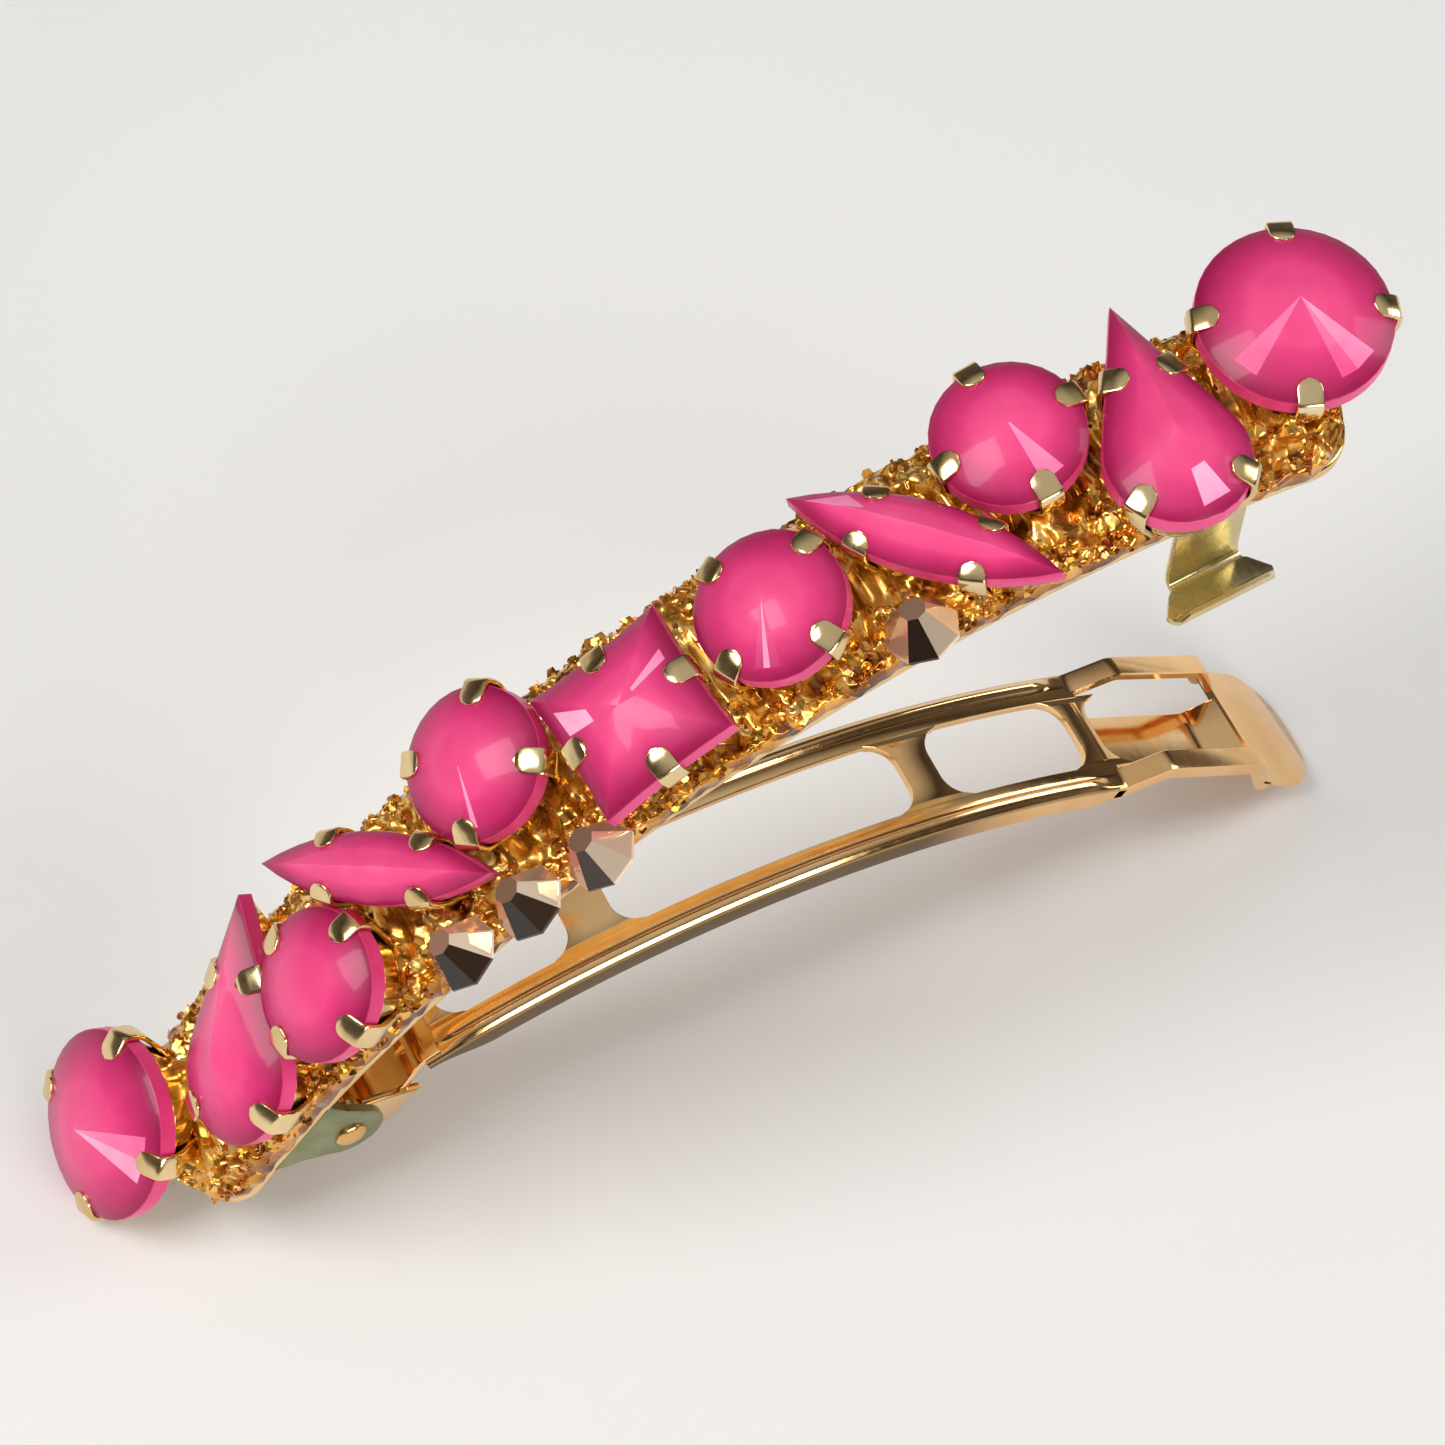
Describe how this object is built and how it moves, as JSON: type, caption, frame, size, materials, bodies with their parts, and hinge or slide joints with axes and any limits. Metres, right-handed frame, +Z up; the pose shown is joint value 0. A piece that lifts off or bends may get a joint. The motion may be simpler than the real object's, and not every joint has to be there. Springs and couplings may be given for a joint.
{
  "type": "rhinestone hair clip",
  "caption": "Arched spring barrette with claw-set pink stones along the top, a slotted locking arm hinged at one end and a two-legged sprung clasp at the other.",
  "frame": {"origin": "centre of the open clip's bounding box, on the surface it rests on", "axes": "+X from the hinge end to the clasp end, +Y across the clip from its front edge to its back edge, +Z up"},
  "size_m": [0.0743, 0.0145, 0.0469],
  "materials": {
    "plate_gold": "polished gold-plated sheet",
    "arm_gold": "polished gold-plated spring sheet",
    "clasp_gold": "satin gold-plated spring strip",
    "rivet_metal": "burnished rivet heads",
    "setting_gold": "polished pale gold claws",
    "stone_glass": "cut opaque pink glass",
    "chaton_mirror": "mirror-backed rose-gold glass",
    "glitter_glue": "clear adhesive full of gold glitter"
  },
  "bodies": {
    "frame": {"base_plate": "plate_gold", "hinge_pin": "rivet_metal", "clasp_bracket": "clasp_gold", "clasp_rivet": "rivet_metal", "glue_bed": "glitter_glue", "stone_01_round": "stone_glass", "stone_02_pear": "stone_glass", "stone_03_round": "stone_glass", "stone_04_navette": "stone_glass", "stone_05_round": "stone_glass", "stone_06_square": "stone_glass", "stone_07_round": "stone_glass", "stone_08_navette": "stone_glass", "stone_09_round": "stone_glass", "stone_10_pear": "stone_glass", "stone_11_round": "stone_glass", "setting_01_round": "setting_gold", "setting_02_pear": "setting_gold", "setting_03_round": "setting_gold", "setting_04_navette": "setting_gold", "setting_05_round": "setting_gold", "setting_06_square": "setting_gold", "setting_07_round": "setting_gold", "setting_08_navette": "setting_gold", "setting_09_round": "setting_gold", "setting_10_pear": "setting_gold", "setting_11_round": "setting_gold", "chaton_1": "chaton_mirror", "chaton_2": "chaton_mirror", "chaton_3": "chaton_mirror", "chaton_4": "chaton_mirror"},
    "arm": {"locking_arm": "arm_gold"},
    "leg_front": {"clasp_leg_front": "clasp_gold"},
    "leg_back": {"clasp_leg_back": "clasp_gold"}
  },
  "joints": [
    {"name": "arm_hinge", "type": "hinge", "parent": "frame", "child": "arm", "pos_m": [-0.02413, 0, 0.00839], "axis": [0, -1, 0], "range_deg": [-45, 25.6]},
    {"name": "leg_front_flex", "type": "hinge", "parent": "frame", "child": "leg_front", "pos_m": [0.02323, -0.00159, 0.03929], "axis": [0.996, 0.0872, 0.0205], "range_deg": [0, 11], "stiffness_Nm_per_rad": 0.05},
    {"name": "leg_back_flex", "type": "hinge", "parent": "frame", "child": "leg_back", "pos_m": [0.02295, 0.00159, 0.03929], "axis": [-0.996, -0.0872, -0.0205], "range_deg": [0, 11], "stiffness_Nm_per_rad": 0.05}
  ]
}
